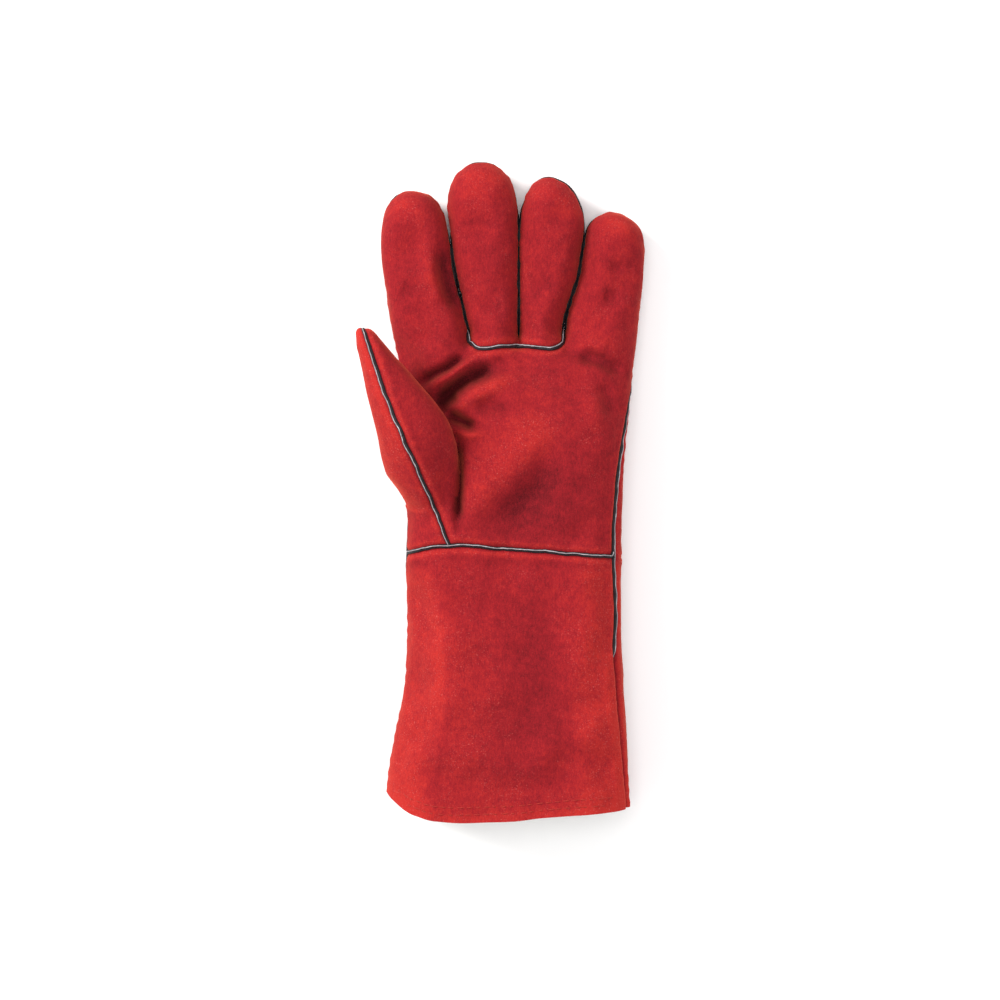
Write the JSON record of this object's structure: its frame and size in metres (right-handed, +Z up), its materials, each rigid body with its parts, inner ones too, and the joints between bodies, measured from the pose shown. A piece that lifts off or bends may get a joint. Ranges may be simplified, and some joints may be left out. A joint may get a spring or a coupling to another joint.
{
  "type": "welding glove",
  "caption": "Left-hand gauntlet welding glove in lined split leather, with welted seams, a flared cuff, and hinged fingers, thumb and wrist.",
  "frame": {"origin": "on the surface it lies on, under the middle of the glove's bounding box", "axes": "+Y from the cuff's hem towards the fingertips, +X from the thumb towards the little finger, +Z up, out of the palm"},
  "size_m": [0.1519, 0.3516, 0.0635],
  "materials": {
    "red_suede": "matte napped split leather, red",
    "welt_strip": "near-black coated strip with a pale grey edge",
    "fleece_lining": "soft brushed cotton fleece, off-white",
    "cuff_canvas": "plain woven cotton canvas, natural",
    "hem_thread": "twisted aramid sewing thread, dyed red"
  },
  "bodies": {
    "hand": {"palm_leather": "red_suede", "thumb_heel_leather": "red_suede", "hand_back_leather": "red_suede", "palm_lining": "fleece_lining", "hand_back_lining": "fleece_lining", "thumb_side_welt": "welt_strip", "little_side_welt": "welt_strip", "wrist_welt": "welt_strip", "finger_root_welt": "welt_strip", "thumb_foot_welt": "welt_strip"},
    "thumb": {"thumb_outer_leather": "red_suede", "thumb_inner_leather": "red_suede", "thumb_welt": "welt_strip", "thumb_lining": "fleece_lining", "thumb_fold": "red_suede"},
    "cuff": {"wrist_fold": "red_suede", "cuff_front_leather": "red_suede", "cuff_back_leather": "red_suede", "cuff_front_lining": "cuff_canvas", "cuff_back_lining": "cuff_canvas", "cuff_thumb_welt": "welt_strip", "cuff_little_welt": "welt_strip", "hem_thread": "hem_thread"},
    "index": {"index_fold": "red_suede", "index_front_leather": "red_suede", "index_back_leather": "red_suede", "index_welt": "welt_strip", "index_lining": "fleece_lining"},
    "middle": {"middle_fold": "red_suede", "middle_front_leather": "red_suede", "middle_back_leather": "red_suede", "middle_welt": "welt_strip", "middle_lining": "fleece_lining"},
    "ring": {"ring_fold": "red_suede", "ring_front_leather": "red_suede", "ring_back_leather": "red_suede", "ring_welt": "welt_strip", "ring_lining": "fleece_lining"},
    "little": {"little_fold": "red_suede", "little_front_leather": "red_suede", "little_back_leather": "red_suede", "little_welt": "welt_strip", "little_lining": "fleece_lining"}
  },
  "joints": [
    {"name": "index_knuckle", "type": "hinge", "parent": "hand", "child": "index", "pos_m": [-0.0405, 0.092, 0.0145], "axis": [1, 0, 0], "range_deg": [0, 70], "deforming": ["index_fold"]},
    {"name": "middle_knuckle", "type": "hinge", "parent": "hand", "child": "middle", "pos_m": [-0.0065, 0.092, 0.0145], "axis": [1, 0, 0], "range_deg": [0, 70], "deforming": ["middle_fold"]},
    {"name": "ring_knuckle", "type": "hinge", "parent": "hand", "child": "ring", "pos_m": [0.0225, 0.092, 0.0145], "axis": [1, 0, 0], "range_deg": [0, 70], "deforming": ["ring_fold"]},
    {"name": "little_knuckle", "type": "hinge", "parent": "hand", "child": "little", "pos_m": [0.055, 0.092, 0.0145], "axis": [1, 0, 0], "range_deg": [0, 70], "deforming": ["little_fold"]},
    {"name": "thumb_base", "type": "hinge", "parent": "hand", "child": "thumb", "pos_m": [-0.0515, 0.0375, 0.0435], "axis": [0.9298, 0.3679, 0], "range_deg": [0, 40], "deforming": ["thumb_fold"]},
    {"name": "wrist", "type": "hinge", "parent": "hand", "child": "cuff", "pos_m": [0.006, -0.0465, 0.022], "axis": [1, 0, 0], "range_deg": [-30, 30], "deforming": ["wrist_fold"]}
  ]
}
